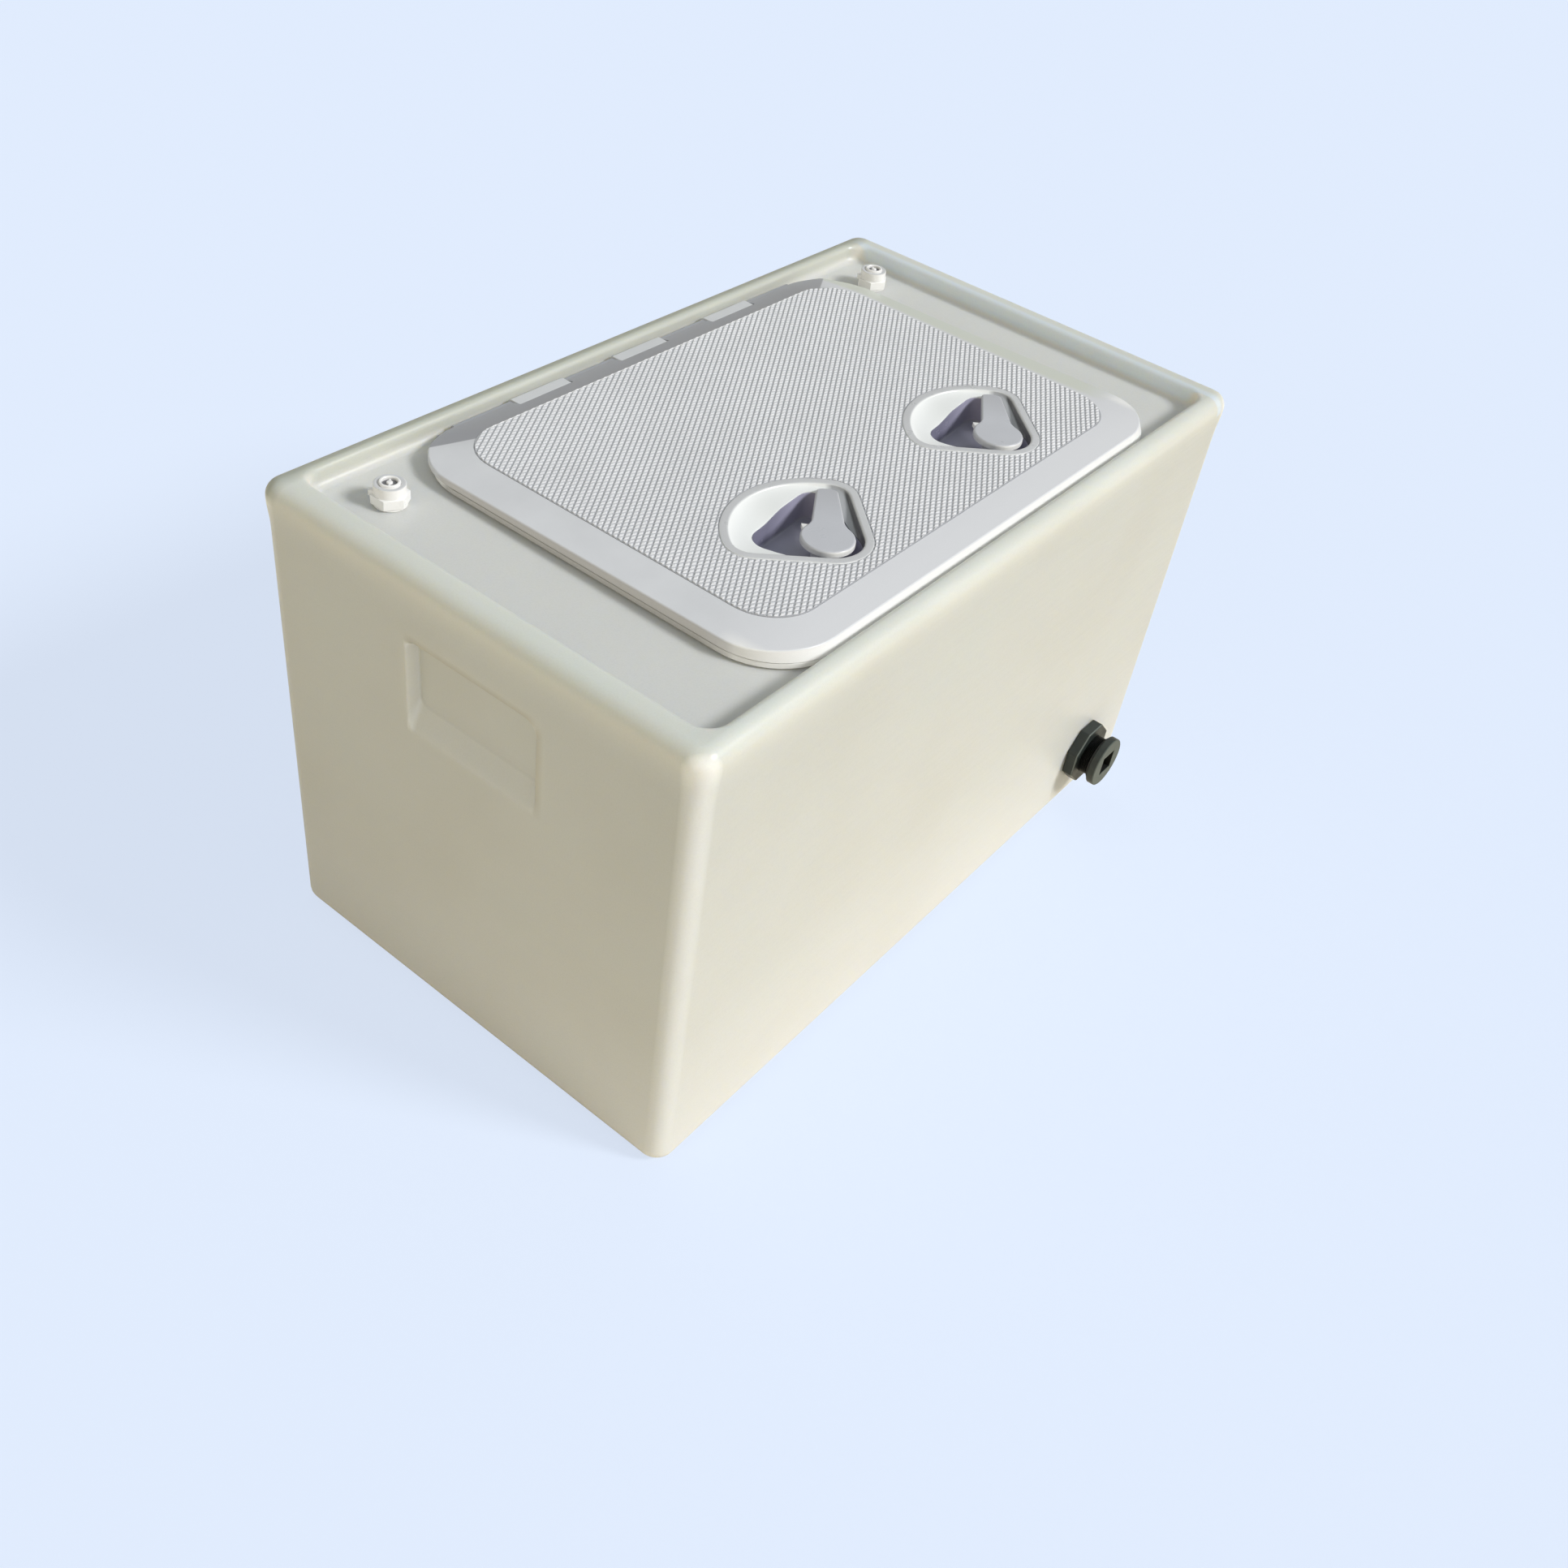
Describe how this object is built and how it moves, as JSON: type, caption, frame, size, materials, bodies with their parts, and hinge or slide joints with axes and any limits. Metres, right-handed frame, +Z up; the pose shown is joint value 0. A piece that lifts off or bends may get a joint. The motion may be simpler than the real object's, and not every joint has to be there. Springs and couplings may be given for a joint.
{
  "type": "live fish transport box",
  "caption": "Moulded tank for carrying live fish, with a sunk deck, a hinged and sealed hatch with turning latches, air line ports, hand grips and a screw-plug drain",
  "frame": {"origin": "middle of the flat base, on the surface that the tank stands on", "axes": "+X along the tank, towards the end with the drain; +Y towards the hatch's hinge; +Z up; the drain and the latches are on the -Y side"},
  "size_m": [0.6, 0.3751, 0.3528],
  "materials": {
    "tank_plastic": "milky natural polyethylene, satin",
    "hatch_plastic": "light grey moulding, satin",
    "frame_plastic": "light grey moulding, satin",
    "white_plastic": "white moulding, satin",
    "black_plastic": "charcoal moulding, slightly worn",
    "seal_rubber": "soft black rubber",
    "steel": "stainless"
  },
  "bodies": {
    "tank": {"tank_shell": "tank_plastic", "deck_gasket": "seal_rubber", "hatch_frame": "frame_plastic", "drain_washer": "seal_rubber", "drain_body": "black_plastic", "drain_nut": "black_plastic", "frame_screw_01": "steel", "frame_screw_02": "steel", "frame_screw_03": "steel", "frame_screw_04": "steel", "frame_screw_05": "steel", "frame_screw_06": "steel", "frame_screw_07": "steel", "frame_screw_08": "steel", "frame_screw_09": "steel", "frame_screw_10": "steel", "hinge_pin_1": "steel", "hinge_pin_2": "steel", "hinge_pin_3": "steel", "port_washer_left": "seal_rubber", "port_body_left": "white_plastic", "port_valve_left": "white_plastic", "port_locknut_left": "white_plastic", "port_washer_right": "seal_rubber", "port_body_right": "white_plastic", "port_valve_right": "white_plastic", "port_locknut_right": "white_plastic"},
    "lid": {"hatch_lid": "hatch_plastic", "lid_seal": "seal_rubber", "latch_bowl_left": "hatch_plastic", "latch_bowl_right": "hatch_plastic", "latch_oring_left": "seal_rubber", "latch_oring_right": "seal_rubber"},
    "drain_seal": {"drain_seal": "seal_rubber"},
    "drain_plug": {"drain_plug": "black_plastic"},
    "latch_left": {"latch_handle_left": "hatch_plastic", "latch_spindle_left": "steel", "latch_cam_left": "hatch_plastic", "latch_cam_nut_left": "steel"},
    "collet_left": {"port_collet_left": "white_plastic"},
    "latch_right": {"latch_handle_right": "hatch_plastic", "latch_spindle_right": "steel", "latch_cam_right": "hatch_plastic", "latch_cam_nut_right": "steel"},
    "collet_right": {"port_collet_right": "white_plastic"}
  },
  "joints": [
    {"name": "lid_hinge", "type": "hinge", "parent": "tank", "child": "lid", "pos_m": [0.007, 0.153, 0.3422], "axis": [-1, 0, 0], "range_deg": [0, 105]},
    {"name": "latch_turn_left", "type": "hinge", "parent": "lid", "child": "latch_left", "pos_m": [-0.08925, -0.091, 0.33], "axis": [0, 0, 1], "range_deg": [0, 102]},
    {"name": "latch_turn_right", "type": "hinge", "parent": "lid", "child": "latch_right", "pos_m": [0.10325, -0.091, 0.33], "axis": [0, 0, 1], "range_deg": [0, 102]},
    {"name": "collet_press_left", "type": "slide", "parent": "tank", "child": "collet_left", "axis": [0, 0, -1], "range_m": [0, 0.001], "stiffness_N_per_m": 400},
    {"name": "collet_press_right", "type": "slide", "parent": "tank", "child": "collet_right", "axis": [0, 0, -1], "range_m": [0, 0.001], "stiffness_N_per_m": 400},
    {"name": "plug_travel", "type": "slide", "parent": "tank", "child": "drain_seal", "axis": [0, -1, 0], "range_m": [0, 0.012]},
    {"name": "plug_turn", "type": "hinge", "parent": "drain_seal", "child": "drain_plug", "pos_m": [0.2175, -0.19, 0.0515], "axis": [0, -1, 0], "range_deg": [0, 1440]}
  ],
  "couplings": [
    {"joint": "plug_travel", "follows": "plug_turn", "m_per_rad": 0.00047746}
  ]
}
